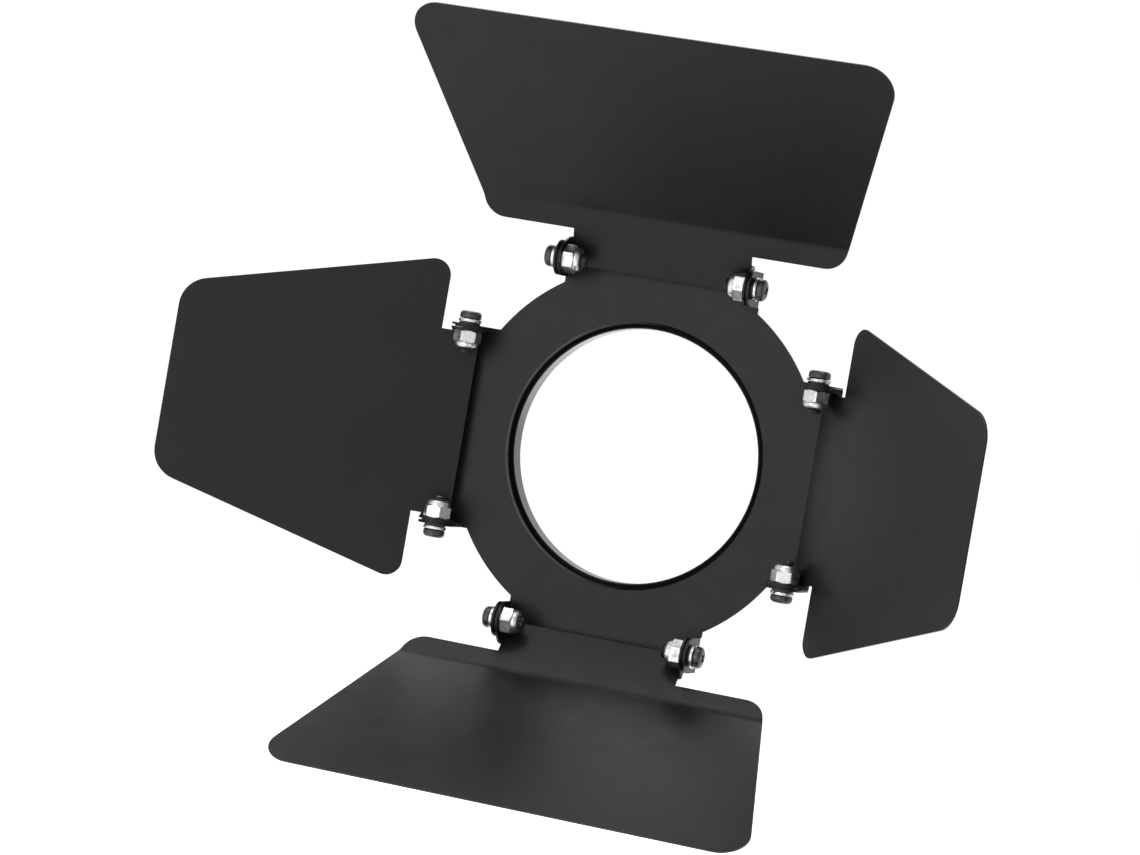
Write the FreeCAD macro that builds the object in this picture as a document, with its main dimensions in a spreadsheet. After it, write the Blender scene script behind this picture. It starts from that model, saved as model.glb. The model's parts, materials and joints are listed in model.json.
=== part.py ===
import FreeCAD, Part
import math
import os
import Sketcher

# Four-leaf barn door attachment: a sheet ring with a drawn collar carries four hinged leaves
# that shape the beam of a lamp. Millimetres and degrees.
# +Z up, +X right, the beam leaves towards -Y. The origin is on the collar's axis, at the centre
# of the collar's rear rim, which is the end that enters the lamp.

DIMENSIONS = [
    ("sheet_gauge", 0.6, "thickness of every sheet part"),
    ("bend_radius", 0.6, "inside radius of the ear bends"),
    ("ring_radius", 52.8, "outer radius of the ring plate"),
    ("collar_radius", 35.5, "inside radius of the drawn collar"),
    ("collar_bend", 1.9, "front radius where the plate turns into the collar"),
    ("collar_depth", 7.4, "plate's front face to the collar's rear rim"),
    ("hinge_radius", 51.0, "collar axis to each hinge axis"),
    ("pivot_height", 8.5, "plate's front face to the hinge axes"),
    ("tab_root", 3.1, "length of a tab's flat root inside its ears"),
    ("ear_radius", 4.9, "rounded end of every ear, about its pivot"),
    ("pivot_hole", 2.05, "radius of the pivot holes"),
    ("leaf_ear_outer", 27.2, "hinge centre to the outer face of a leaf's ear"),
    ("running_gap", 0.05, "clearance on each side of a leaf's ear"),
    ("leaf_drop", 5.0, "hinge axis to the back face of a leaf"),
    ("neck_start", 3.1, "hinge axis to the neck's inner edge"),
    ("side_shoulder", 7.75, "hinge axis to a side leaf's shoulders"),
    ("side_half_width", 46.4, "half width of a side leaf at its shoulders"),
    ("side_far_half_width", 26.9, "half width of a side leaf at its far edge"),
    ("side_length", 82.0, "hinge axis to a side leaf's far edge"),
    ("main_shoulder", 7.5, "hinge axis to a creased leaf's shoulders"),
    ("main_half_width", 51.4, "half width of a creased leaf at its shoulders"),
    ("main_far_half_width", 70.2, "half width of a creased leaf at its far edge"),
    ("crease_start", 12.4, "hinge axis to the start of the crease"),
    ("crease_angle", 21.5, "forward turn of the outer panel at the crease"),
    ("crease_radius", 6.0, "inside radius of the crease"),
    ("outer_panel", 62.6, "length of the flat panel beyond the crease"),
    ("side_far_corner", 8.6, "corner radius at the far edge of a side leaf"),
    ("side_shoulder_corner", 4.6, "corner radius at the shoulders of a side leaf"),
    ("main_far_corner", 7.7, "corner radius at the far edge of a creased leaf"),
    ("main_shoulder_corner", 6.4, "corner radius at the shoulders of a creased leaf"),
    ("screw_radius", 2.0, "radius of the pivot screw's shank"),
    ("screw_length", 9.5, "under the head to the thread's end"),
    ("screw_chamfer", 0.4, "chamfer of the thread's end"),
    ("head_radius", 3.05, "radius of the screw head"),
    ("head_height", 2.2, "height of the screw head"),
    ("head_round", 1.1, "rounding of the head's top edge"),
    ("recess_width", 0.8, "width of the cross recess's arms"),
    ("recess_reach", 1.7, "half length of the cross recess's arms"),
    ("recess_depth", 1.2, "depth of the cross recess"),
    ("washer_bore", 2.05, "bore radius of all the washers"),
    ("flat_washer_radius", 3.0, "outer radius of the flat washer"),
    ("flat_washer_gauge", 0.5, "thickness of the flat washer"),
    ("lock_washer_radius", 3.25, "outer radius of the split lock washer"),
    ("lock_washer_gauge", 1.0, "thickness of the split lock washer"),
    ("lock_washer_split", 0.5, "width of the lock washer's split"),
    ("lock_washer_slant", 0.5, "sideways run of the split across the thickness"),
    ("friction_washer_radius", 4.0, "outer radius of the washer between the ears"),
    ("friction_washer_gauge", 0.5, "thickness of the washer between the ears"),
    ("nut_half_flats", 3.5, "half the nut's width across flats"),
    ("nut_height", 5.0, "height of the lock nut with its collar"),
    ("nut_hex_height", 3.4, "height of the nut's hexagon"),
    ("nut_face_radius", 3.4, "radius of the nut's chamfered face"),
    ("nut_chamfer", 0.35, "axial height of the hexagon's chamfers"),
    ("nut_collar_radius", 3.3, "outer radius of the collar round the insert"),
    ("nut_collar_round", 1.1, "rounding of the collar's end"),
    ("nut_lip_radius", 2.15, "radius of the opening in the collar's end"),
    ("nut_lip_gauge", 0.35, "thickness of the lip over the insert"),
    ("nut_bore", 2.02, "bore radius of the nut and of its insert"),
    ("insert_radius", 2.75, "outer radius of the nylon insert"),
    ("insert_height", 1.3, "height of the nylon insert"),
]

# Each hinge: its turn about the collar's axis, the leaf's kind and its opening at rest,
# where 0 is parallel to the plate and 90 is straight forward.
HINGES = [
    ("top", 0.0, "creased", 21.0),
    ("right", 90.0, "flat", 46.0),
    ("bottom", 180.0, "creased", 40.0),
    ("left", -90.0, "flat", 16.0),
]

ORIGIN_POINT = (-1, 1)
X_DIRECTION = FreeCAD.Vector(1, 0, 0)
Y_DIRECTION = FreeCAD.Vector(0, 1, 0)
Z_DIRECTION = FreeCAD.Vector(0, 0, 1)


class Size:
    """A size that holds its number and the sheet formula it comes from."""

    def __init__(self, number, formula):
        self.number = number
        self.formula = formula

    def join(self, other, number, sign):
        return Size(number, "(%s %s %s)" % (self.formula, sign, as_size(other).formula))

    def __add__(self, other):
        return self.join(other, self.number + as_size(other).number, "+")

    def __sub__(self, other):
        return self.join(other, self.number - as_size(other).number, "-")

    def __mul__(self, other):
        return self.join(other, self.number * as_size(other).number, "*")

    def __truediv__(self, other):
        return self.join(other, self.number / as_size(other).number, "/")

    def __neg__(self):
        return Size(-self.number, "(-%s)" % self.formula)


def as_size(value):
    if isinstance(value, Size):
        return value
    return Size(float(value), repr(float(value)))


def sine(angle):
    return Size(math.sin(math.radians(angle.number)), "sin(%s * 1 deg)" % angle.formula)


def cosine(angle):
    return Size(math.cos(math.radians(angle.number)), "cos(%s * 1 deg)" % angle.formula)


doc = FreeCAD.newDocument("barn_door_attachment")
sheet = doc.addObject("Spreadsheet::Sheet", "dims")
dim = {}
for row, (alias, number, note) in enumerate(DIMENSIONS, start=1):
    sheet.set("A%d" % row, note)
    sheet.set("B%d" % row, str(number))
    sheet.setAlias("B%d" % row, alias)
    dim[alias] = Size(number, "dims." + alias)
doc.recompute()

# Sizes worked out from the driving dimensions.
gauge = dim["sheet_gauge"]
plate_back = gauge - dim["collar_depth"]
pivot_y = -(dim["collar_depth"] + dim["pivot_height"])
washer_face = dim["leaf_ear_outer"] + dim["running_gap"]
ring_ear_outer = washer_face + dim["friction_washer_gauge"] + gauge
lock_washer_face = ring_ear_outer + dim["flat_washer_gauge"]
head_face = lock_washer_face + dim["lock_washer_gauge"]
nut_face = dim["leaf_ear_outer"] - gauge - dim["running_gap"]
neck_half_width = dim["leaf_ear_outer"] - gauge - dim["bend_radius"]


def bind(feature, name, size):
    feature.setExpression(name, as_size(size).formula)


def new_body(name):
    body = doc.addObject("PartDesign::Body", name)
    body.Label = name
    return body


def origin_part(body, role):
    return [item for item in body.Origin.OriginFeatures if item.Role == role][0]


def new_sketch(body, name, plane, offset=None):
    """A sketch on one of the body's origin planes, moved along the plane's normal."""
    sketch = body.newObject("Sketcher::SketchObject", name)
    sketch.AttachmentSupport = (origin_part(body, plane), "")
    sketch.MapMode = "FlatFace"
    if offset is not None:
        bind(sketch, "AttachmentOffset.Base.z", offset)
    return sketch


def set_datum(sketch, kind, arguments, size):
    index = sketch.addConstraint(Sketcher.Constraint(kind, *arguments, size.number))
    sketch.setExpression("Constraints[%d]" % index, size.formula)


def pin_along(sketch, kind, axis, point, size):
    """Set one coordinate of a sketch point, measured from the origin."""
    if size.number == 0:
        sketch.addConstraint(Sketcher.Constraint("PointOnObject", point[0], point[1], axis))
    elif size.number > 0:
        set_datum(sketch, kind, ORIGIN_POINT + point, size)
    else:
        set_datum(sketch, kind, point + ORIGIN_POINT, -size)


def pin(sketch, point, place):
    pin_along(sketch, "DistanceX", -2, point, as_size(place[0]))
    pin_along(sketch, "DistanceY", -1, point, as_size(place[1]))


def vector(place):
    return FreeCAD.Vector(as_size(place[0]).number, as_size(place[1]).number, 0)


def arc_between(start, end, radius, turn):
    """The short arc from start to end; turn is 1 anticlockwise and -1 clockwise."""
    chord = end - start
    height = math.sqrt(max(radius ** 2 - (chord.Length / 2) ** 2, 0.0))
    left = FreeCAD.Vector(-chord.y, chord.x, 0).normalize()
    centre = (start + end) * 0.5 + left * (height * turn)
    first, last = (start, end) if turn > 0 else (end, start)
    angles = [math.atan2(point.y - centre.y, point.x - centre.x) for point in (first, last)]
    return Part.ArcOfCircle(Part.Circle(centre, Z_DIRECTION, radius), *angles)


def add_outline(sketch, places, arcs=None):
    """A closed outline through the places; arcs gives (radius, turn) for the stretch that
    leaves a place, and the other stretches are straight."""
    arcs = arcs or {}
    starts = []
    ends = []
    for index, place in enumerate(places):
        start = vector(place)
        end = vector(places[(index + 1) % len(places)])
        if index in arcs:
            radius, turn = arcs[index]
            line = sketch.addGeometry(arc_between(start, end, radius.number, turn))
            set_datum(sketch, "Radius", (line,), radius)
        else:
            turn = 1
            line = sketch.addGeometry(Part.LineSegment(start, end))
        starts.append((line, 1 if turn > 0 else 2))
        ends.append((line, 2 if turn > 0 else 1))
    for index, place in enumerate(places):
        sketch.addConstraint(Sketcher.Constraint("Coincident", *ends[index - 1], *starts[index]))
        pin(sketch, starts[index], place)


def add_circle(sketch, radius, place=(0, 0)):
    circle = sketch.addGeometry(Part.Circle(vector(place), Z_DIRECTION, radius.number))
    set_datum(sketch, "Radius", (circle,), radius)
    pin(sketch, (circle, 3), place)


def add_pad(body, sketch, length, symmetric=False):
    pad = body.newObject("PartDesign::Pad", sketch.Name + "_pad")
    pad.Profile = sketch
    if symmetric:
        pad.SideType = "Symmetric"
    bind(pad, "Length", length)
    return pad


def add_pocket(body, sketch, length):
    """Cut the outline away to half the length on each side of the sketch."""
    pocket = body.newObject("PartDesign::Pocket", sketch.Name + "_pocket")
    pocket.Profile = sketch
    pocket.SideType = "Symmetric"
    bind(pocket, "Length", length)
    return pocket


def add_revolution(body, sketch):
    turned = body.newObject("PartDesign::Revolution", sketch.Name + "_turned")
    turned.Profile = sketch
    turned.ReferenceAxis = (sketch, ["H_Axis"])
    turned.Angle = 360
    return turned


def round_corners(body, name, corner, radius):
    """Fillet the two edges along Y that stand at the given corner (X, Z) and its mirror image."""
    doc.recompute()
    base = body.Tip
    names = []
    for index, edge in enumerate(base.Shape.Edges, start=1):
        middle = edge.CenterOfMass
        along_y = abs(edge.tangentAt(edge.FirstParameter).y) > 0.99
        miss = math.hypot(abs(middle.x) - corner[0].number, middle.z - corner[1].number)
        if along_y and miss < gauge.number:
            names.append("Edge%d" % index)
    if len(names) != 2:
        raise RuntimeError("%s found %d corners" % (name, len(names)))
    fillet = body.newObject("PartDesign::Fillet", name)
    fillet.Base = (base, names)
    bind(fillet, "Radius", radius)


def eared_channel(body, name, low, high, back, ear_outer, pivot):
    """Sheet channel with an ear at each end, its rounded ends and its pivot holes.

    low and high are the ears' edges along Z, back is the web's rear face and pivot is the
    hinge axis as (Y, Z).
    """
    outer_bend = dim["bend_radius"] + gauge
    web_end = ear_outer - outer_bend
    ear_inner = ear_outer - gauge
    ear_root = back - outer_bend
    front = back - gauge
    half = [
        (web_end, back),
        (ear_outer, ear_root),
        (ear_outer, pivot[0]),
        (ear_inner, pivot[0]),
        (ear_inner, ear_root),
        (web_end, front),
    ]
    other_half = [(-x, y) for x, y in reversed(half)]
    arcs = {
        0: (outer_bend, -1),
        4: (dim["bend_radius"], 1),
        6: (dim["bend_radius"], 1),
        10: (outer_bend, -1),
    }
    profile = new_sketch(body, name + "_channel", "XY_Plane", low)
    add_outline(profile, half + other_half, arcs)
    features = [add_pad(body, profile, high - low)]
    for side, inner_face in (("right", ear_inner), ("left", -ear_outer)):
        disc = new_sketch(body, "%s_%s_ear" % (name, side), "YZ_Plane", inner_face)
        add_circle(disc, dim["ear_radius"], pivot)
        features.append(add_pad(body, disc, gauge))
    hole = new_sketch(body, name + "_pivot_hole", "YZ_Plane")
    add_circle(hole, dim["pivot_hole"], pivot)
    features.append(add_pocket(body, hole, ear_outer * 2 + gauge))
    return features


def make_ring_plate():
    """Flat ring with the drawn collar behind it and four eared tabs round it."""
    body = new_body("ring_plate")
    depth = dim["collar_depth"]
    bend = dim["collar_bend"]
    inner = dim["collar_radius"]
    profile = new_sketch(body, "ring_section", "YZ_Plane")
    section = [
        (0, inner),
        (bend - depth, inner),
        (-depth, inner + bend),
        (-depth, dim["ring_radius"]),
        (plate_back, dim["ring_radius"]),
        (plate_back, inner + bend),
        (bend - depth, inner + gauge),
        (0, inner + gauge),
    ]
    add_outline(profile, section, {1: (bend, -1), 5: (bend - gauge, 1)})
    add_revolution(body, profile)
    reach = dim["ear_radius"]
    low = dim["hinge_radius"] - reach
    high = dim["hinge_radius"] + reach
    pivot = (pivot_y, dim["hinge_radius"])
    root = new_sketch(body, "tab_root", "XZ_Plane", -plate_back)
    width = ring_ear_outer
    base = low - dim["tab_root"]
    add_outline(root, [(width, base), (width, low), (-width, low), (-width, base)])
    tab = [add_pad(body, root, gauge)]
    tab += eared_channel(body, "tab", low, high, plate_back, ring_ear_outer, pivot)
    pattern = body.newObject("PartDesign::PolarPattern", "four_tabs")
    pattern.Originals = tab
    pattern.Axis = (origin_part(body, "Y_Axis"), [""])
    pattern.Angle = 360
    pattern.Occurrences = len(HINGES)
    body.Tip = pattern
    return body


def make_flat_leaf(name):
    """Side leaf: a flat panel that narrows outwards, on an eared neck."""
    body = new_body(name)
    shoulder = dim["side_shoulder"]
    near = dim["side_half_width"]
    far = dim["side_far_half_width"]
    length = dim["side_length"]
    half = [
        (neck_half_width, -dim["neck_start"]),
        (neck_half_width, shoulder),
        (near, shoulder),
        (far, length),
    ]
    panel = new_sketch(body, name + "_panel", "XZ_Plane", -dim["leaf_drop"])
    add_outline(panel, half + [(-x, z) for x, z in reversed(half)])
    add_pad(body, panel, gauge)
    round_corners(body, name + "_far_corners", (far, length), dim["side_far_corner"])
    round_corners(
        body, name + "_shoulder_corners", (near, shoulder), dim["side_shoulder_corner"]
    )
    start = -dim["neck_start"]
    eared_channel(
        body, name, start, dim["ear_radius"], dim["leaf_drop"], dim["leaf_ear_outer"], (0, 0)
    )
    return body


def make_creased_leaf(name):
    """Top or bottom leaf: it widens outwards and its outer panel is bent forward."""
    body = new_body(name)
    back = dim["leaf_drop"]
    front = back - gauge
    crease = dim["crease_start"]
    radius = dim["crease_radius"]
    along_y = -sine(dim["crease_angle"])
    along_z = cosine(dim["crease_angle"])
    panel = dim["outer_panel"]
    start = -dim["neck_start"]
    shoulder = dim["main_shoulder"]
    near = dim["main_half_width"]
    far = dim["main_far_half_width"]
    at_crease = near + (far - near) * (crease - shoulder) / (crease + panel - shoulder)
    far_edge = crease - radius * along_y + panel * along_z
    half = [
        (neck_half_width, start),
        (neck_half_width, shoulder),
        (near, shoulder),
        (at_crease, crease),
        (far, far_edge),
    ]
    outline = new_sketch(body, name + "_outline", "XZ_Plane")
    add_outline(outline, half + [(-x, z) for x, z in reversed(half)])
    add_pad(body, outline, panel * 2, symmetric=True)
    round_corners(body, name + "_far_corners", (far, far_edge), dim["main_far_corner"])
    round_corners(
        body, name + "_shoulder_corners", (near, shoulder), dim["main_shoulder_corner"]
    )

    centre_y = front - radius
    outer_bend = radius + gauge
    margin = dim["ear_radius"]
    run = panel + margin
    bend_back = (centre_y + outer_bend * along_z, crease - outer_bend * along_y)
    bend_front = (centre_y + radius * along_z, crease - radius * along_y)
    section = [
        (back, start - margin),
        (back, crease),
        bend_back,
        (bend_back[0] + run * along_y, bend_back[1] + run * along_z),
        (bend_front[0] + run * along_y, bend_front[1] + run * along_z),
        bend_front,
        (front, crease),
        (front, start - margin),
    ]
    frame_z = [start - margin * 2, far_edge + margin * 2]
    frame = [
        (panel + margin, frame_z[0]),
        (panel + margin, frame_z[1]),
        (-panel - margin, frame_z[1]),
        (-panel - margin, frame_z[0]),
    ]
    around = new_sketch(body, name + "_section", "YZ_Plane")
    add_outline(around, section, {1: (outer_bend, 1), 5: (radius, -1)})
    add_outline(around, frame)
    add_pocket(body, around, (far + margin) * 2)
    eared_channel(body, name, start, dim["ear_radius"], back, dim["leaf_ear_outer"], (0, 0))
    return body


def make_screw():
    """Pivot screw: low round head with a cross recess, shank along X."""
    body = new_body("screw")
    shank = dim["screw_radius"]
    head = dim["head_radius"]
    rounding = dim["head_round"]
    chamfer = dim["screw_chamfer"]
    top = head_face + dim["head_height"]
    end = head_face - dim["screw_length"]
    profile = new_sketch(body, "screw_section", "XY_Plane")
    places = [
        (end, 0),
        (top, 0),
        (top, head - rounding),
        (top - rounding, head),
        (head_face, head),
        (head_face, shank),
        (end + chamfer, shank),
        (end, shank - chamfer),
    ]
    add_outline(profile, places, {2: (rounding, 1)})
    add_revolution(body, profile)
    reach = dim["recess_reach"]
    width = dim["recess_width"] / 2
    cross = new_sketch(body, "screw_recess", "YZ_Plane", top)
    arm = [(width, width), (width, reach), (-width, reach), (-width, width)]
    side_arm = [(-reach, width), (-reach, -width)]
    half = arm + side_arm
    add_outline(cross, half + [(-x, -y) for x, y in half])
    add_pocket(body, cross, dim["recess_depth"] * 2)
    return body


def make_washer(name, start, radius, thickness):
    body = new_body(name)
    face = new_sketch(body, name + "_face", "YZ_Plane", start)
    add_circle(face, radius)
    add_circle(face, dim["washer_bore"])
    add_pad(body, face, thickness)
    return body


def make_lock_washer():
    """Split lock washer, pressed flat, with a slanted split."""
    thickness = dim["lock_washer_gauge"]
    body = make_washer("lock_washer", lock_washer_face, dim["lock_washer_radius"], thickness)
    half = dim["lock_washer_split"] / 2
    lean = dim["lock_washer_slant"] / 2
    near = lock_washer_face
    far = head_face
    split = new_sketch(body, "lock_washer_split", "XY_Plane", dim["lock_washer_radius"])
    places = [
        (near, -half - lean),
        (far, lean - half),
        (far, half + lean),
        (near, half - lean),
    ]
    add_outline(split, places)
    add_pocket(body, split, dim["lock_washer_radius"] * 2)
    return body


def make_nut():
    """Lock nut: chamfered hexagon and a round collar that holds the insert."""
    body = new_body("nut")
    end = nut_face - dim["nut_height"]
    hex_end = nut_face - dim["nut_hex_height"]
    corner = dim["nut_half_flats"] / cosine(as_size(30))
    chamfer = dim["nut_chamfer"]
    face = dim["nut_face_radius"]
    collar = dim["nut_collar_radius"]
    rounding = dim["nut_collar_round"]
    insert_start = end + dim["nut_lip_gauge"]
    insert_end = insert_start + dim["insert_height"]
    profile = new_sketch(body, "nut_section", "XY_Plane")
    places = [
        (nut_face, dim["nut_bore"]),
        (nut_face, face),
        (nut_face - chamfer, corner),
        (hex_end + chamfer, corner),
        (hex_end, face),
        (hex_end, collar),
        (end + rounding, collar),
        (end, collar - rounding),
        (end, dim["nut_lip_radius"]),
        (insert_start, dim["nut_lip_radius"]),
        (insert_start, dim["insert_radius"]),
        (insert_end, dim["insert_radius"]),
        (insert_end, dim["nut_bore"]),
    ]
    add_outline(profile, places, {6: (rounding, 1)})
    add_revolution(body, profile)
    flats = new_sketch(body, "nut_flats", "YZ_Plane", end)
    corners = []
    for step in range(6):
        turn = as_size(60 * step + 30)
        corners.append((corner * cosine(turn), corner * sine(turn)))
    add_outline(flats, corners)
    add_circle(flats, corner + gauge)
    add_pocket(body, flats, dim["nut_height"] * 2 + gauge)
    return body


def make_insert():
    """Nylon ring inside the nut's collar."""
    start = nut_face - dim["nut_height"] + dim["nut_lip_gauge"]
    body = new_body("nut_insert")
    face = new_sketch(body, "nut_insert_face", "YZ_Plane", start)
    add_circle(face, dim["insert_radius"])
    add_circle(face, dim["nut_bore"])
    add_pad(body, face, dim["insert_height"])
    return body


def hinge_placement(turn, opening=0.0):
    """Where a hinge's own frame lies: X along the hinge, Z outwards, -Y forward."""
    side = FreeCAD.Rotation(Y_DIRECTION, turn)
    swing = FreeCAD.Rotation(X_DIRECTION, opening)
    place = side.multVec(FreeCAD.Vector(0, 0, dim["hinge_radius"].number))
    place.y = pivot_y.number
    return FreeCAD.Placement(place, side.multiply(swing))


def turned_copy(name, piece):
    """The same fastener for the other end of a hinge, turned half round."""
    copy = doc.addObject("App::Link", name)
    copy.LinkedObject = piece
    copy.LinkPlacement = FreeCAD.Placement(FreeCAD.Vector(), FreeCAD.Rotation(Y_DIRECTION, 180))
    return copy


def make_pair(name, piece, copy, placement):
    """The two equal fasteners of one hinge, one at each end."""
    pair = doc.addObject("Part::Compound", name)
    pair.Label = name
    pair.Links = [piece, copy]
    pair.Placement = placement
    return pair


nodes = [make_ring_plate()]
for hinge, turn, kind, opening in HINGES:
    make_leaf = make_creased_leaf if kind == "creased" else make_flat_leaf
    leaf = make_leaf(hinge + "_leaf")
    leaf.Placement = hinge_placement(turn, opening)
    nodes.append(leaf)

flat_gauge = dim["flat_washer_gauge"]
friction_gauge = dim["friction_washer_gauge"]
fasteners = {
    "screws": make_screw(),
    "flat_washers": make_washer(
        "flat_washer", ring_ear_outer, dim["flat_washer_radius"], flat_gauge
    ),
    "lock_washers": make_lock_washer(),
    "friction_washers": make_washer(
        "friction_washer", washer_face, dim["friction_washer_radius"], friction_gauge
    ),
    "nuts": make_nut(),
    "nut_inserts": make_insert(),
}
copies = {}
for kind, piece in fasteners.items():
    copies[kind] = turned_copy(kind + "_copy", piece)
for hinge, turn, _, _ in HINGES:
    for kind, piece in fasteners.items():
        name = "%s_hinge_%s" % (hinge, kind)
        nodes.append(make_pair(name, piece, copies[kind], hinge_placement(turn)))
doc.recompute()

for item in doc.Objects:
    if "Invalid" in item.State or "Error" in item.State:
        raise RuntimeError("%s failed: %s" % (item.Label, item.State))
for node in nodes:
    if node.Shape.isNull() or not node.Shape.isValid():
        raise RuntimeError("%s has no valid shape" % node.Label)

os.makedirs("parts", exist_ok=True)
for node in nodes:
    node.Shape.exportStep("parts/%s.step" % node.Label)
    box = node.Shape.BoundBox
    print(
        "%-28s solids %d volume %9.2f box %6.1f %6.1f %6.1f"
        % (node.Label, len(node.Shape.Solids), node.Shape.Volume, box.XLength, box.YLength, box.ZLength)
    )
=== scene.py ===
# Looks of the barn door attachment: finished sheet metal and detailed pivot fasteners.

import json
import math
import random

import bmesh
import bpy
from mathutils import Matrix, Vector


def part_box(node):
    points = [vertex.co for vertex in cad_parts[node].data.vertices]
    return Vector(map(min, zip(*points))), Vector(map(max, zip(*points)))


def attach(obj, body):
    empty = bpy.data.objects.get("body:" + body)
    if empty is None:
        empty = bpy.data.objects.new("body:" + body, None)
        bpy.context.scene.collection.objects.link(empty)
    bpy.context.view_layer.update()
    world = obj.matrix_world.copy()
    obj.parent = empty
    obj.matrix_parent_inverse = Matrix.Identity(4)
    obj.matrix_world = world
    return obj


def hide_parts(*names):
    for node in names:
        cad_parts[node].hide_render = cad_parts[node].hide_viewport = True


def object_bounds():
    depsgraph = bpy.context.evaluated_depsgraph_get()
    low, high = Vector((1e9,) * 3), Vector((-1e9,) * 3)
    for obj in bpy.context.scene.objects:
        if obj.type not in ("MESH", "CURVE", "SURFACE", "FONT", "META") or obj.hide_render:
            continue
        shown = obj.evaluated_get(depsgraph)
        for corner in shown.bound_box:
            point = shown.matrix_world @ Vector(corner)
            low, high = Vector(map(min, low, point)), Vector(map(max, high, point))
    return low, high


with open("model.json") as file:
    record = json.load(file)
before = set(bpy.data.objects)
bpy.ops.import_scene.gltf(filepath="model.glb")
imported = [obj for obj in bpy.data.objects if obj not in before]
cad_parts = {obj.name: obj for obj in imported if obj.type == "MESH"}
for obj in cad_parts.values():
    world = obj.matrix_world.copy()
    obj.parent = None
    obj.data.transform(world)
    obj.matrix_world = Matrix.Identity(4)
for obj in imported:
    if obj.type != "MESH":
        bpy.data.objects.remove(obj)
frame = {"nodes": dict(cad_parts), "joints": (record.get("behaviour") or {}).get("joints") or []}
cad_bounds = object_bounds()

MM = 0.001
TURN = 2 * math.pi
Y_AXIS = Vector((0, 1, 0))

# Fastener details, in millimetres.
THREAD_PITCH = 0.7
THREAD_DEPTH = 0.42
THREAD_CLEARANCE = 0.03
THREAD_SHOWN = 3.2
HEX_HALF_FLATS = 3.5
HEX_CORNER_CUT = 0.07
NUT_HEX_HEIGHT = 3.4
NUT_FACE_RADIUS = 3.4
NUT_COLLAR_RADIUS = 3.3
NUT_DOME = 1.15
NUT_LIP_RADIUS = 2.15
NUT_LIP_GAUGE = 0.3
NUT_BORE = 2.02
WASHER_BORE = 2.05
SCREW_RADIUS = 2.0
SHANK_RADIUS = 1.98
HEAD_ROUNDING = 1.1
HEAD_UNDER_ROUNDING = 0.5
RECESS_REACH = 1.75
RECESS_HALF_WIDTH = 0.42
RECESS_DEPTH = 1.3
LOCK_WASHER_LIFT = 0.16

# The coat's rounding of the sheet parts' cut edges, in millimetres.
COAT_EDGE = 0.15

# The collar's turned-in front, in millimetres.
COLLAR_RADIUS = 35.5
COLLAR_BEND = 1.9

HINGES = ("top", "right", "bottom", "left")


# ---------------------------------------------------------------- where the fasteners go

def joint_of(hinge):
    """The frame's record of a leaf's hinge."""
    return next(joint for joint in frame["joints"] if joint["name"] == hinge + "_leaf_hinge")


def hinge_matrix(hinge):
    """The hinge's own frame: X along the hinge, Y rearwards, Z outwards from the collar's axis."""
    place = Vector(joint_of(hinge)["pos_m"])
    outward = Vector((place.x, 0, place.z)).normalized()
    along = Y_AXIS.cross(outward)
    turn = Matrix((along, Y_AXIS, outward)).transposed()
    return Matrix.Translation(place) @ turn.to_4x4()


def stack_span(kind):
    """(inner end, outer end, radius) of a fastener, in millimetres along the hinge from its centre."""
    name = "top_hinge_" + kind
    along = [vertex.co.x for vertex in frame["nodes"][name].data.vertices if vertex.co.x > 0]
    low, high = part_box(name)
    return min(along) / MM, max(along) / MM, (high.y - low.y) / 2 / MM


# ---------------------------------------------------------------- mesh helpers

def ring_points(profile, count, shape=None):
    """Rings of points round X, one for each (x, radius) of the profile; shape changes a ring by angle."""
    rings = []
    for index, (x, radius) in enumerate(profile):
        ring = []
        for step in range(count):
            angle = TURN * step / count
            px, pr = (x, radius) if shape is None else shape(index, x, radius, angle)
            ring.append(Vector((px, pr * math.cos(angle), pr * math.sin(angle))))
        rings.append(ring)
    return rings


def skin(bm, rings, closed=False, caps=(False, False)):
    """Joins rings of points into faces; closed joins the last ring to the first."""
    made = [[bm.verts.new(point) for point in ring] for ring in rings]
    pairs = list(zip(made, made[1:]))
    if closed:
        pairs.append((made[-1], made[0]))
    for near, far in pairs:
        count = len(near)
        for step in range(count):
            after = (step + 1) % count
            bm.faces.new((near[step], near[after], far[after], far[step]))
    if caps[0]:
        bm.faces.new(list(reversed(made[0])))
    if caps[1]:
        bm.faces.new(made[-1])
    bmesh.ops.recalc_face_normals(bm, faces=bm.faces)


def corner_arc(centre, radius, start, end, steps=5):
    """Profile points of a rounded corner about centre, from angle start to end in degrees."""
    points = []
    for step in range(steps + 1):
        angle = math.radians(start + (end - start) * step / steps)
        points.append((centre[0] + radius * math.cos(angle), centre[1] + radius * math.sin(angle)))
    return points


def disc_profile(start, end, bore, radius, edge):
    """Closed section of a washer whose outer and inner rims are rounded."""
    section = []
    section += corner_arc((end - edge, radius - edge), edge, 0, 90, 3)
    section += corner_arc((start + edge, radius - edge), edge, 90, 180, 3)
    section += corner_arc((start + edge, bore + edge), edge, 180, 270, 3)
    section += corner_arc((end - edge, bore + edge), edge, 270, 360, 3)
    return section


def mesh_from(bm, name):
    bmesh.ops.recalc_face_normals(bm, faces=bm.faces)
    mesh = bpy.data.meshes.new(name)
    bm.to_mesh(mesh)
    bm.free()
    return mesh


def smooth_by_angle(mesh, degrees):
    mesh.polygons.foreach_set("use_smooth", [True] * len(mesh.polygons))
    mesh.set_sharp_from_angle(angle=math.radians(degrees))


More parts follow.
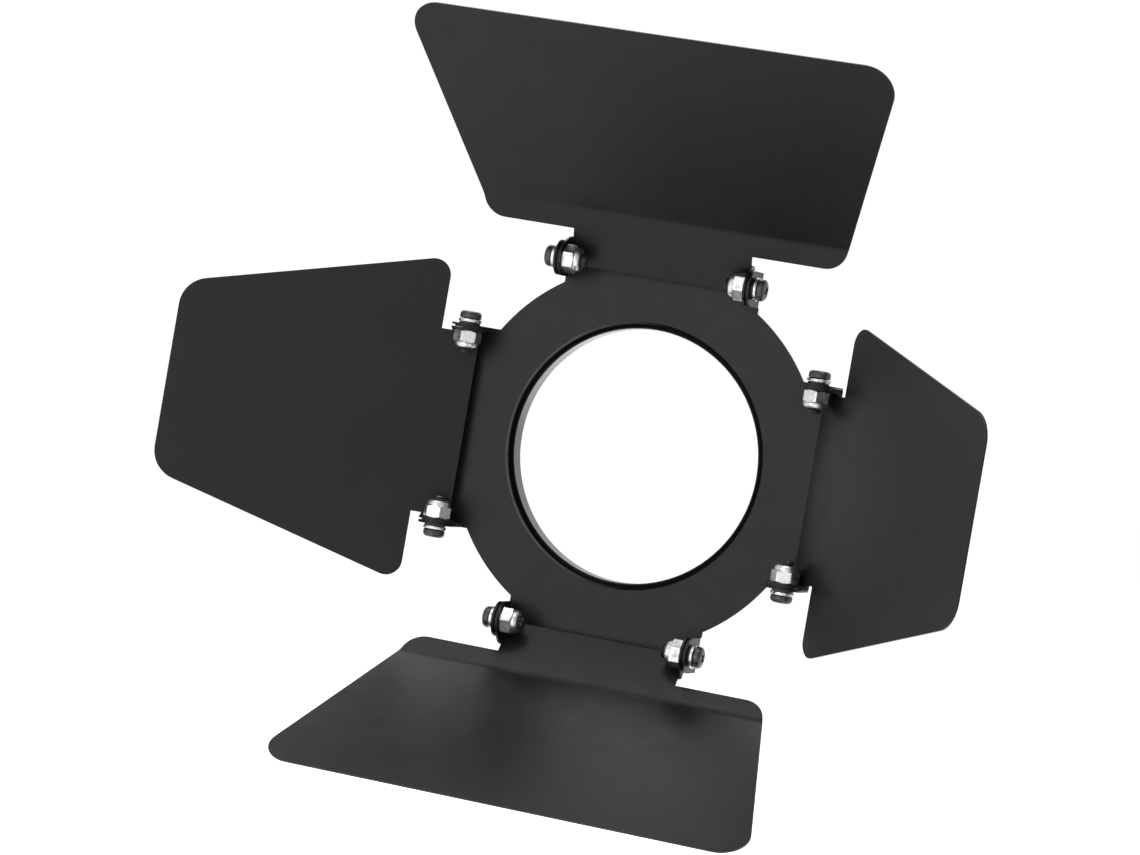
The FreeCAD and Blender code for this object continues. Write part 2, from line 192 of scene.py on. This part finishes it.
def cut_away(mesh, cutter):
    """The mesh with the cutter's volume removed."""
    body = bpy.data.objects.new("cut_body", mesh)
    tool = bpy.data.objects.new("cut_tool", cutter)
    bpy.context.scene.collection.objects.link(body)
    bpy.context.scene.collection.objects.link(tool)
    boolean = body.modifiers.new("cut", "BOOLEAN")
    boolean.operation = "DIFFERENCE"
    boolean.solver = "EXACT"
    boolean.object = tool
    graph = bpy.context.evaluated_depsgraph_get()
    result = bpy.data.meshes.new_from_object(body.evaluated_get(graph))
    bpy.data.objects.remove(body)
    bpy.data.objects.remove(tool)
    return result


# ---------------------------------------------------------------- fasteners, in millimetres along X

def thread_radius(x, angle, major, end):
    """Radius of a right-handed thread that starts at the chamfered end."""
    phase = (x / THREAD_PITCH - angle / TURN) % 1.0
    flank = min(max(abs(phase - 0.5) * 2.6 - 0.3, 0.0), 1.0)
    radius = major - THREAD_DEPTH * flank
    chamfer = major - THREAD_DEPTH + (x - end) - 0.02
    return min(radius, chamfer)


def recess_cutter(top, reach, half_width, depth):
    """Cross-shaped plug whose arms get shorter and thinner towards the bottom."""
    bm = bmesh.new()
    rings = []
    for x, grow in ((top + 0.4, 1.1), (top, 1.0), (top - depth * 0.55, 0.74), (top - depth, 0.36)):
        arm = reach * grow
        half = half_width * (0.55 + 0.45 * grow)
        outline = []
        for turn in range(4):
            angle = turn * TURN / 4
            for along, side in ((half * 1.25, half), (arm, half * 0.9), (arm, -half * 0.9)):
                outline.append((along, side, angle))
        ring = []
        for along, side, angle in outline:
            y = along * math.cos(angle) + side * math.sin(angle)
            z = along * math.sin(angle) - side * math.cos(angle)
            ring.append(Vector((x, y, z)))
        rings.append(ring)
    skin(bm, rings, caps=(True, True))
    return mesh_from(bm, "recess_cutter")


def screw_mesh():
    """Pivot screw: rounded head with a tapered cross recess, and the thread's end."""
    end, top, head = stack_span("screws")
    face = stack_span("lock_washers")[1]
    major = SCREW_RADIUS - THREAD_CLEARANCE
    core = major - THREAD_DEPTH - 0.02
    rounding = HEAD_ROUNDING
    under = HEAD_UNDER_ROUNDING
    count = 64
    head_profile = [(top, 0.02), (top, head * 0.35), (top, head - rounding)]
    head_profile += corner_arc((top - rounding, head - rounding), rounding, 0, 90, 8)[1:]
    head_profile += corner_arc((face + under, head - under), under, 90, 180, 5)
    shank_start = end + THREAD_SHOWN
    head_profile += [(face, SHANK_RADIUS), (shank_start + 0.4, SHANK_RADIUS), (shank_start, core)]
    bm = bmesh.new()
    rings = ring_points(head_profile, count)
    rows = int(THREAD_SHOWN / THREAD_PITCH * 14)
    thread = [(shank_start - THREAD_SHOWN * row / rows, major) for row in range(1, rows + 1)]
    rings += ring_points(thread, count, lambda i, x, r, a: (x, thread_radius(x, a, major, end)))
    rings += ring_points([(end, core * 0.6), (end + 0.05, 0.02)], count)
    skin(bm, rings, caps=(True, True))
    recess = recess_cutter(top, RECESS_REACH, RECESS_HALF_WIDTH, RECESS_DEPTH)
    mesh = cut_away(mesh_from(bm, "screw"), recess)
    smooth_by_angle(mesh, 38)
    return mesh


def disc_mesh(kind, bore, edge):
    """Plain washer or insert with rounded rims, in the space of the CAD one."""
    start, end, radius = stack_span(kind)
    bm = bmesh.new()
    skin(bm, ring_points(disc_profile(start, end, bore, radius, edge), 64), closed=True)
    mesh = mesh_from(bm, kind)
    smooth_by_angle(mesh, 50)
    return mesh


def lock_washer_mesh():
    """Spring washer: one turn of square wire with slanted ends that stand slightly apart."""
    start, end, radius = stack_span("lock_washers")
    lift = LOCK_WASHER_LIFT
    gauge = end - start - lift
    middle = (start + end) / 2
    gap = 0.55 / radius
    slant = 0.5 / radius
    section = disc_profile(middle - gauge / 2, middle + gauge / 2, WASHER_BORE, radius, 0.1)
    stations = 72
    rings = []
    for station in range(stations + 1):
        along = station / stations
        shift = lift * (along - 0.5)
        ring = []
        for x, r in section:
            angle = gap / 2 + along * (TURN - gap) + slant * (x - middle) / gauge
            ring.append(Vector((x + shift, r * math.cos(angle), r * math.sin(angle))))
        rings.append(ring)
    bm = bmesh.new()
    skin(bm, rings, caps=(True, True))
    mesh = mesh_from(bm, "lock_washer")
    smooth_by_angle(mesh, 50)
    return mesh


def hex_radius(angle):
    """Distance from a hexagon's middle to its side, with the corners slightly cut."""
    side = (angle % (TURN / 6)) - TURN / 12
    corner = HEX_HALF_FLATS / math.cos(TURN / 12)
    return min(HEX_HALF_FLATS / math.cos(side), corner - HEX_CORNER_CUT)


def nut_mesh():
    """Lock nut: chamfered hexagon, then a round collar whose lip is rolled over the insert."""
    end, face, _ = stack_span("nuts")
    hex_end = face - NUT_HEX_HEIGHT
    slope = math.tan(math.radians(30))
    insert_start, insert_end, insert_radius = stack_span("nut_inserts")
    collar = NUT_COLLAR_RADIUS
    hexagon = "hexagon"
    profile = [
        (face - 0.35, NUT_BORE, None),
        (face, NUT_BORE + 0.35, None),
        (face, NUT_FACE_RADIUS, None),
        (face, 0.0, hexagon),
        (hex_end, 0.0, hexagon),
        (hex_end, NUT_FACE_RADIUS, None),
        (hex_end - 0.1, collar, None),
    ]
    dome = corner_arc((end + NUT_DOME, collar - NUT_DOME), NUT_DOME, 90, 168, 9)
    profile += [(x, r, None) for x, r in dome]
    lip_round = NUT_LIP_GAUGE / 2
    lip = corner_arc((end + lip_round, NUT_LIP_RADIUS + lip_round), lip_round, 180, 360, 5)
    profile += [(x, r, None) for x, r in lip]
    profile += [
        (insert_start, insert_radius, None),
        (insert_end, insert_radius, None),
        (insert_end, NUT_BORE, None),
    ]

    def shape(index, x, radius, angle):
        if profile[index][2] != hexagon:
            return x, radius
        radius = hex_radius(angle)
        inward = (radius - NUT_FACE_RADIUS) * slope
        return (x - inward if x == face else x + inward), radius

    bm = bmesh.new()
    rings = ring_points([(x, r) for x, r, _ in profile], 120, shape)
    skin(bm, rings, closed=True)
    mesh = mesh_from(bm, "nut")
    smooth_by_angle(mesh, 25)
    return mesh


def place_fasteners(kind, mesh, material, spin):
    """One piece at each hinge with the two fasteners at its ends, in place of the CAD node."""
    for hinge in HINGES:
        bm = bmesh.new()
        for half_turn in (0, math.pi):
            part = mesh.copy()
            turn = Matrix.Rotation(spin.uniform(0, TURN), 4, "X")
            flip = Matrix.Rotation(half_turn, 4, "Y")
            part.transform(hinge_matrix(hinge) @ flip @ Matrix.Scale(MM, 4) @ turn)
            bm.from_mesh(part)
            bpy.data.meshes.remove(part)
        node = "%s_hinge_%s" % (hinge, kind)
        joined = bpy.data.meshes.new(node + "_detail")
        bm.to_mesh(joined)
        bm.free()
        joined.materials.clear()
        joined.materials.append(material)
        piece = bpy.data.objects.new(node + "_detail", joined)
        bpy.context.scene.collection.objects.link(piece)
        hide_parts(node)
        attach(piece, "ring")


# ---------------------------------------------------------------- sheet parts

def finish_sheet(node, body, material, edge_material):
    """The CAD sheet part with its cut edges rounded as a powder coat rounds them."""
    bm = bmesh.new()
    bm.from_mesh(frame["nodes"][node].data)
    bmesh.ops.remove_doubles(bm, verts=bm.verts, dist=0.02 * MM)
    bmesh.ops.dissolve_degenerate(bm, edges=bm.edges, dist=0.005 * MM)
    bmesh.ops.dissolve_limit(
        bm, angle_limit=math.radians(0.3), verts=bm.verts, edges=bm.edges, use_dissolve_boundaries=False
    )
    mesh = bpy.data.meshes.new(node + "_coated")
    bm.to_mesh(mesh)
    bm.free()
    mesh.polygons.foreach_set("use_smooth", [True] * len(mesh.polygons))
    mesh.materials.append(material)
    mesh.materials.append(edge_material)
    piece = bpy.data.objects.new(node + "_coated", mesh)
    bpy.context.scene.collection.objects.link(piece)
    edge = piece.modifiers.new("coat_edge", "BEVEL")
    edge.width = COAT_EDGE * MM
    edge.segments = 3
    edge.limit_method = "ANGLE"
    edge.angle_limit = math.radians(40)
    edge.use_clamp_overlap = True
    # The bevel faces take the second material, whose lighter colour is a painted edge highlight.
    edge.material = 1
    weighted = piece.modifiers.new("flat_faces", "WEIGHTED_NORMAL")
    weighted.mode = "FACE_AREA"
    weighted.keep_sharp = False
    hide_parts(node)
    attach(piece, body)
    return piece


# ---------------------------------------------------------------- materials

class Nodes:
    """A material's node tree with short calls for the nodes used here."""

    def __init__(self, name):
        self.material = bpy.data.materials.new(name)
        self.material.use_nodes = True
        self.tree = self.material.node_tree
        self.shader = self.tree.nodes["Principled BSDF"]
        self.place = self.tree.nodes.new("ShaderNodeTexCoord").outputs["Object"]

    def link(self, output, socket):
        self.tree.links.new(output, socket)

    def noise(self, scale, detail=2.0, roughness=0.5, distortion=0.0):
        node = self.tree.nodes.new("ShaderNodeTexNoise")
        node.inputs["Scale"].default_value = scale
        node.inputs["Detail"].default_value = detail
        node.inputs["Roughness"].default_value = roughness
        node.inputs["Distortion"].default_value = distortion
        self.link(self.place, node.inputs["Vector"])
        return node.outputs["Fac"]

    def specks(self, scale, size):
        """White dots at scattered places, as a mask."""
        cells = self.tree.nodes.new("ShaderNodeTexVoronoi")
        cells.inputs["Scale"].default_value = scale
        self.link(self.place, cells.inputs["Vector"])
        return self.remap(cells.outputs["Distance"], size, size * 0.4, 0.0, 1.0)

    def remap(self, value, low, high, to_low, to_high):
        node = self.tree.nodes.new("ShaderNodeMapRange")
        limits = {"From Min": low, "From Max": high, "To Min": to_low, "To Max": to_high}
        for name, number in limits.items():
            node.inputs[name].default_value = number
        self.link(value, node.inputs["Value"])
        return node.outputs["Result"]

    def blend(self, fac, first, second):
        node = self.tree.nodes.new("ShaderNodeMix")
        node.data_type = "RGBA"
        self.link(fac, node.inputs["Factor"])
        for socket, colour in ((node.inputs["A"], first), (node.inputs["B"], second)):
            if isinstance(colour, tuple):
                socket.default_value = (*colour, 1.0)
            else:
                self.link(colour, socket)
        return node.outputs["Result"]

    def times(self, first, second):
        node = self.tree.nodes.new("ShaderNodeMath")
        node.operation = "MULTIPLY"
        self.link(first, node.inputs[0])
        if isinstance(second, float):
            node.inputs[1].default_value = second
        else:
            self.link(second, node.inputs[1])
        return node.outputs["Value"]

    def bump(self, height, distance, strength=1.0, under=None):
        node = self.tree.nodes.new("ShaderNodeBump")
        node.inputs["Distance"].default_value = distance
        node.inputs["Strength"].default_value = strength
        self.link(height, node.inputs["Height"])
        if under is not None:
            self.link(under, node.inputs["Normal"])
        return node.outputs["Normal"]

    def set(self, **values):
        for name, value in values.items():
            socket = self.shader.inputs[name.replace("_", " ")]
            if isinstance(value, (int, float, tuple)):
                socket.default_value = value
            else:
                self.link(value, socket)


def powder_coat(name="black_powder_coat", base=0.0025, gloss=0.155, rough=(0.34, 0.41)):
    """Satin black powder coat: fine orange peel, slow tone changes and a few dust specks."""
    nodes = Nodes(name)
    tone = nodes.remap(nodes.noise(28, 3, 0.55), 0.3, 0.7, 0.0, 1.0)
    ground = nodes.blend(tone, (base * 0.7,) * 3, (base * 1.3,) * 3)
    grain = nodes.remap(nodes.noise(2600, 2), 0.35, 0.75, 0.0, 1.0)
    coat = nodes.blend(nodes.times(grain, 0.35), ground, (base * 2.8,) * 3)
    thin_out = nodes.remap(nodes.noise(90, 2), 0.6, 0.66, 0.0, 1.0)
    specks = nodes.times(nodes.specks(420, 0.075), thin_out)
    colour = nodes.blend(specks, coat, (0.045, 0.045, 0.046))
    peel = nodes.bump(nodes.noise(1500, 3, 0.6), 0.00002, 0.5)
    dust = nodes.bump(specks, 0.00003, 0.6, peel)
    waves = nodes.bump(nodes.noise(22, 1, 0.4), 0.0004, 0.06, dust)
    nodes.set(
        Base_Color=colour,
        Roughness=nodes.remap(nodes.noise(160, 4, 0.6), 0.3, 0.7, *rough),
        Normal=waves,
    )
    nodes.set(Specular_IOR_Level=gloss)
    return nodes.material


def collar_bend_coat():
    """Near-black coat in the turned-in bend, a painted dark reflection, with a painted highlight line on
    the plate's edge, lighter on the left side.
    """
    nodes = Nodes("bend_coat_painted_dark_reflection")
    split = nodes.tree.nodes.new("ShaderNodeSeparateXYZ")
    nodes.link(nodes.place, split.inputs["Vector"])
    x, z = split.outputs["X"], split.outputs["Z"]
    across = nodes.tree.nodes.new("ShaderNodeMath")
    across.operation = "ADD"
    nodes.link(nodes.times(x, x), across.inputs[0])
    nodes.link(nodes.times(z, z), across.inputs[1])
    outer = COLLAR_RADIUS + COLLAR_BEND
    edge = [((outer - inset) * MM) ** 2 for inset in (0.8, 0.5)]
    rim = nodes.remap(across.outputs["Value"], edge[0], edge[1], 0.0, 1.0)
    # Painted highlight: the edge line is lit on the left side only and fades out towards the right.
    side = nodes.remap(x, -0.022, 0.004, 1.0, 0.0)
    highlight_breakup = nodes.remap(nodes.noise(240, 3), 0.3, 0.6, 0.7, 1.0)
    # Near-black base for the bend, darker than the coat elsewhere: a painted dark reflection.
    painted_dark_bend = nodes.blend(nodes.noise(400, 2), (0.0004,) * 3, (0.0010,) * 3)
    # The painted highlight line along the plate's edge: the thin ring, the lit left side and a noise that
    # breaks it up.
    wear_and_edge_highlight = nodes.times(nodes.times(rim, side), highlight_breakup)
    nodes.set(
        Base_Color=nodes.blend(wear_and_edge_highlight, painted_dark_bend, (0.045,) * 3),
        Roughness=nodes.remap(nodes.noise(160, 4, 0.6), 0.3, 0.7, 0.3, 0.38),
        Normal=nodes.bump(nodes.noise(1500, 3, 0.6), 0.00002, 0.4),
    )
    nodes.set(Specular_IOR_Level=0.02)
    return nodes.material


def paint_collar(piece, bend_coat, wall_sheen_coat):
    """Give the bend's front a near-black coat, a painted dark reflection, and the collar's inner wall a
    lighter coat, a painted sheen.
    """
    mesh = piece.data
    mesh.materials.append(bend_coat)
    mesh.materials.append(wall_sheen_coat)
    for face in mesh.polygons:
        out = Vector((face.center.x, 0, face.center.z))
        radius = out.length / MM
        inward = -face.normal.dot(out.normalized())
        if radius > COLLAR_RADIUS + COLLAR_BEND or inward < 0.03:
            continue
        face.material_index = 2 if face.normal.y < -0.02 else 3


def black_oxide(name, low, high):
    """Semi-gloss blackened steel with lighter spots of wear."""
    nodes = Nodes(name)
    wear_and_edge_highlight = nodes.remap(nodes.noise(900, 4, 0.65), 0.5, 0.75, 0.0, 1.0)
    tone = nodes.blend(nodes.noise(300, 2), (0.008, 0.008, 0.0085), (0.02, 0.02, 0.021))
    colour = nodes.blend(nodes.times(wear_and_edge_highlight, 0.5), tone, (0.07, 0.07, 0.072))
    nodes.set(
        Base_Color=colour,
        Roughness=nodes.remap(nodes.noise(700, 3), 0.3, 0.7, low, high),
        Normal=nodes.bump(nodes.noise(2400, 3), 0.00002, 0.6),
    )
    nodes.set(Metallic=0.35)
    return nodes.material


def zinc_plate():
    """Bright zinc plate: mottled crystals, fine bumps and dull grey patches."""
    nodes = Nodes("bright_zinc")
    mottle = nodes.remap(nodes.noise(1400, 4, 0.6, 0.8), 0.35, 0.7, 0.0, 1.0)
    bright = nodes.blend(mottle, (0.47, 0.475, 0.48), (0.31, 0.315, 0.32))
    dull = nodes.remap(nodes.noise(420, 3), 0.55, 0.7, 0.0, 0.7)
    nodes.set(
        Base_Color=nodes.blend(dull, bright, (0.22, 0.225, 0.23)),
        Roughness=nodes.remap(nodes.noise(700, 3), 0.3, 0.7, 0.24, 0.4),
        Normal=nodes.bump(nodes.noise(700, 2, 0.5), 0.00005, 0.45),
    )
    nodes.set(Metallic=1.0)
    return nodes.material


def nylon(name, dark, light):
    """Matt nylon with a slight unevenness of tone."""
    nodes = Nodes(name)
    nodes.set(
        Base_Color=nodes.blend(nodes.noise(500, 3), dark, light),
        Roughness=nodes.remap(nodes.noise(900, 2), 0.3, 0.7, 0.42, 0.58),
        Normal=nodes.bump(nodes.noise(1800, 2), 0.00002, 0.6),
    )
    return nodes.material


def studio_white():
    """Pale matt floor."""
    nodes = Nodes("studio_white")
    tone = nodes.blend(nodes.noise(3, 2), (0.95, 0.95, 0.95), (0.97, 0.97, 0.97))
    nodes.set(Base_Color=tone)
    nodes.set(Roughness=0.9, Specular_IOR_Level=0.1)
    return nodes.material


# ---------------------------------------------------------------- studio

def make_floor():
    """Wide round pale floor just below the object."""
    radius = 12.0
    bm = bmesh.new()
    bmesh.ops.create_circle(bm, cap_ends=True, segments=96, radius=radius)
    mesh = mesh_from(bm, "studio_floor")
    mesh.materials.append(studio_white())
    floor = bpy.data.objects.new("studio_floor", mesh)
    floor.location.z = cad_bounds[0].z - 0.15
    bpy.context.scene.collection.objects.link(floor)


def soft_light(name, azimuth, elevation, distance, size, watts):
    """Square soft light aimed at the object; azimuth 0 is in front and 90 to the right."""
    light = bpy.data.lights.new(name, "AREA")
    light.shape = "RECTANGLE"
    light.size, light.size_y = size
    light.energy = watts
    lamp = bpy.data.objects.new(name, light)
    a, e = math.radians(azimuth), math.radians(elevation)
    place = Vector((math.sin(a) * math.cos(e), -math.cos(a) * math.cos(e), math.sin(e))) * distance
    lamp.location = place
    lamp.rotation_euler = place.to_track_quat("Z", "Y").to_euler()
    bpy.context.scene.collection.objects.link(lamp)


def make_world(strength):
    world = bpy.data.worlds.new("studio_air")
    world.use_nodes = True
    background = world.node_tree.nodes["Background"]
    background.inputs["Color"].default_value = (1.0, 1.0, 1.0, 1.0)
    background.inputs["Strength"].default_value = strength
    bpy.context.scene.world = world
    bpy.context.scene.view_settings.view_transform = "Standard"


def make_camera():
    """Long lens a little to the right of the collar's axis, level with it and rolled."""
    azimuth, elevation, roll = math.radians(17.82), math.radians(1.19), math.radians(9.78)
    aim = Vector((-19.3, -8.1, 4.7)) * MM
    distance = 1.1273
    back = Vector((
        math.sin(azimuth) * math.cos(elevation),
        -math.cos(azimuth) * math.cos(elevation),
        math.sin(elevation),
    ))
    data = bpy.data.cameras.new("photo_camera")
    data.sensor_width = 36.0
    data.lens = 127.55
    data.clip_start = 0.05
    data.clip_end = 30.0
    camera = bpy.data.objects.new("photo_camera", data)
    camera.location = aim + back * distance
    level = Matrix.Rotation(azimuth, 4, "Z") @ Matrix.Rotation(math.pi / 2 - elevation, 4, "X")
    camera.rotation_euler = (level @ Matrix.Rotation(roll, 4, "Z")).to_euler()
    bpy.context.scene.collection.objects.link(camera)
    bpy.context.scene.camera = camera


make_camera()
make_world(1.05)
make_floor()

# Name, azimuth and elevation in degrees, watts.
LIGHTS = (
    ("front", -20, 10, 14),
    ("front_right", 20, 10, 3),
    ("upper_left", -45, 50, 6),
    ("overhead", 0, 85, 55),
    ("behind", 210, 45, 10),
    ("left", -95, 15, 6),
)
for light_name, light_azimuth, light_elevation, watts in LIGHTS:
    soft_light(light_name, light_azimuth, light_elevation, 2.0, (1.3, 1.3), watts)

coat = powder_coat()
# The bevelled cut edges get a lighter, glossier coat: a painted highlight along every cut edge.
edge_highlight_coat = powder_coat("cut_edge_painted_highlight", 0.02, 0.5, (0.3, 0.4))
ring = finish_sheet("ring_plate", "ring", coat, edge_highlight_coat)
# The collar's inner wall gets a lighter base than the coat elsewhere, a painted grazing sheen, with more
# gloss.
wall_sheen_coat = powder_coat("collar_wall_painted_sheen_coat", 0.02, 0.34, (0.2, 0.28))
paint_collar(ring, collar_bend_coat(), wall_sheen_coat)
for leaf in (hinge + "_leaf" for hinge in HINGES):
    finish_sheet(leaf, leaf, coat, edge_highlight_coat)

spin = random.Random(7)
screw_finish = black_oxide("black_screw", 0.25, 0.42)
place_fasteners("screws", screw_mesh(), screw_finish, spin)
washer_finish = black_oxide("black_washer", 0.35, 0.5)
flat_washer = disc_mesh("flat_washers", WASHER_BORE, 0.09)
place_fasteners("flat_washers", flat_washer, washer_finish, spin)
place_fasteners("lock_washers", lock_washer_mesh(), zinc_plate(), spin)
friction_nylon = nylon("black_nylon", (0.008,) * 3, (0.018,) * 3)
friction_washer = disc_mesh("friction_washers", WASHER_BORE, 0.12)
place_fasteners("friction_washers", friction_washer, friction_nylon, spin)
place_fasteners("nuts", nut_mesh(), zinc_plate(), spin)
insert_nylon = nylon("natural_nylon", (0.60, 0.59, 0.55), (0.72, 0.71, 0.67))
insert = disc_mesh("nut_inserts", NUT_BORE, 0.1)
place_fasteners("nut_inserts", insert, insert_nylon, spin)
